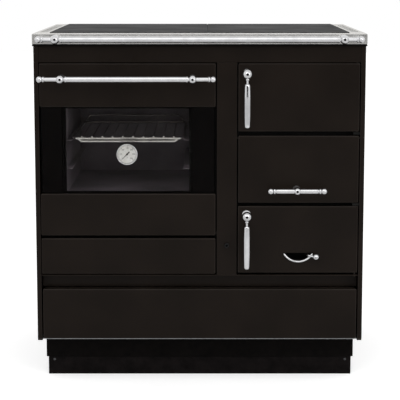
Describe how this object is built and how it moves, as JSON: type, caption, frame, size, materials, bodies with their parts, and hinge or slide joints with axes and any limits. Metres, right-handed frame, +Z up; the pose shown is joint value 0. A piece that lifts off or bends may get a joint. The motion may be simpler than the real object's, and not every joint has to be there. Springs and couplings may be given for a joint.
{
  "type": "wood cookstove",
  "caption": "Free-standing wood-burning cookstove: steel casing, hob plates in a stainless frame, oven with glazed drop-down door, brick-lined firebox, ash door and wood drawer.",
  "frame": {"origin": "centre of the bounding box at floor level, under the plinth", "axes": "+Z up, the front with its doors faces -Y, +X to the right seen from the front"},
  "size_m": [0.805, 0.6998, 0.86],
  "materials": {
    "enamel": "smooth brown-black enamel, semi-gloss",
    "stainless": "polished stainless steel",
    "chrome": "bright chrome plate",
    "cast_iron": "ground and blackened cast iron",
    "dark_steel": "heat-proof black paint",
    "galvanised": "galvanised sheet",
    "tinted_glass": "dark tinted glass",
    "clear_glass": "clear ceramic glass",
    "firebrick": "fired clay brick",
    "dial_white": "white dial paint",
    "rope_seal": "woven glass-fibre rope"
  },
  "bodies": {
    "casing": {"upper_plinth": "enamel", "lower_plinth": "enamel", "left_side_panel": "enamel", "right_side_panel": "enamel", "front_fascia": "enamel", "centre_pilaster": "enamel", "lower_cross_rail": "enamel", "top_frame": "stainless", "vent_grille_left": "stainless", "vent_grille_right": "stainless", "oven_rack": "stainless", "top_rail": "chrome", "hob_plate_left": "cast_iron", "hob_plate_right": "cast_iron", "firebox_front_frame": "cast_iron", "grate_carrier": "cast_iron", "fire_grate": "cast_iron", "top_trim": "dark_steel", "oven_front_plate": "dark_steel", "oven_box": "dark_steel", "smoke_casing": "dark_steel", "flue_spigot": "dark_steel", "firebox_shell": "dark_steel", "levelling_foot_front_left": "galvanised", "levelling_foot_front_right": "galvanised", "levelling_foot_back_left": "galvanised", "levelling_foot_back_right": "galvanised", "back_panel": "galvanised", "base_plate": "galvanised", "floor_panel": "galvanised", "ash_pan": "galvanised", "firebrick_left": "firebrick", "firebrick_right": "firebrick", "firebrick_back": "firebrick"},
    "oven_door": {"oven_door_top_panel": "enamel", "oven_door_bottom_panel": "enamel", "oven_door_glass": "tinted_glass", "oven_door_frame": "dark_steel", "oven_door_inner_glass": "clear_glass", "oven_door_seal": "rope_seal", "oven_door_handle": "chrome", "thermometer_case": "chrome", "thermometer_dial": "dial_white"},
    "needle": {"thermometer_needle": "dark_steel"},
    "fire_door": {"fire_door_panel": "enamel", "fire_door_liner": "cast_iron"},
    "fire_lever": {"fire_door_lever": "chrome"},
    "stoking_flap": {"stoking_flap_panel": "enamel", "stoking_flap_liner": "cast_iron", "stoking_flap_handle": "chrome"},
    "ash_door": {"ash_door_panel": "enamel", "ash_door_liner": "cast_iron", "air_regulator_lip": "chrome"},
    "ash_lever": {"ash_door_lever": "chrome"},
    "air_regulator": {"air_regulator_damper": "chrome"},
    "soot_cover": {"soot_cover": "enamel"},
    "wood_drawer": {"wood_drawer_front": "enamel", "wood_drawer_box": "galvanised"},
    "riddling_grate": {"riddling_grate": "cast_iron", "riddling_rod": "galvanised"}
  },
  "joints": [
    {"name": "oven_door_hinge", "type": "hinge", "parent": "casing", "child": "oven_door", "pos_m": [-0.1745, -0.28775, 0.372], "axis": [1, 0, 0], "range_deg": [0, 90], "stiffness_Nm_per_rad": 8, "springref_deg": -20.05},
    {"name": "thermometer_needle_turn", "type": "hinge", "parent": "oven_door", "child": "needle", "pos_m": [-0.176, -0.29775, 0.5667], "axis": [0, 1, 0], "range_deg": [0, 270], "stiffness_Nm_per_rad": 0.002},
    {"name": "fire_door_hinge", "type": "hinge", "parent": "casing", "child": "fire_door", "pos_m": [0.3805, -0.28775, 0.70425], "axis": [0, 0, 1], "range_deg": [0, 95]},
    {"name": "fire_door_lever_turn", "type": "hinge", "parent": "fire_door", "child": "fire_lever", "pos_m": [0.114, -0.33275, 0.763], "axis": [0, -1, 0], "range_deg": [0, 90]},
    {"name": "stoking_flap_hinge", "type": "hinge", "parent": "casing", "child": "stoking_flap", "pos_m": [0.24, -0.28775, 0.605], "axis": [-1, 0, 0], "range_deg": [0, 65]},
    {"name": "ash_door_hinge", "type": "hinge", "parent": "casing", "child": "ash_door", "pos_m": [0.3805, -0.28775, 0.35575], "axis": [0, 0, 1], "range_deg": [0, 95]},
    {"name": "ash_door_lever_turn", "type": "hinge", "parent": "ash_door", "child": "ash_lever", "pos_m": [0.114, -0.33275, 0.4185], "axis": [0, -1, 0], "range_deg": [0, 90]},
    {"name": "air_regulator_turn", "type": "hinge", "parent": "ash_door", "child": "air_regulator", "pos_m": [0.241, -0.29075, 0.3425], "axis": [0, 1, 0], "range_deg": [0, 90]},
    {"name": "soot_cover_pull", "type": "slide", "parent": "casing", "child": "soot_cover", "axis": [0, -1, 0], "range_m": [0, 0.06]},
    {"name": "wood_drawer_slide", "type": "slide", "parent": "casing", "child": "wood_drawer", "axis": [0, -1, 0], "range_m": [0, 0.4]},
    {"name": "riddling_grate_pull", "type": "slide", "parent": "casing", "child": "riddling_grate", "axis": [0, -1, 0], "range_m": [0, 0.03]}
  ]
}
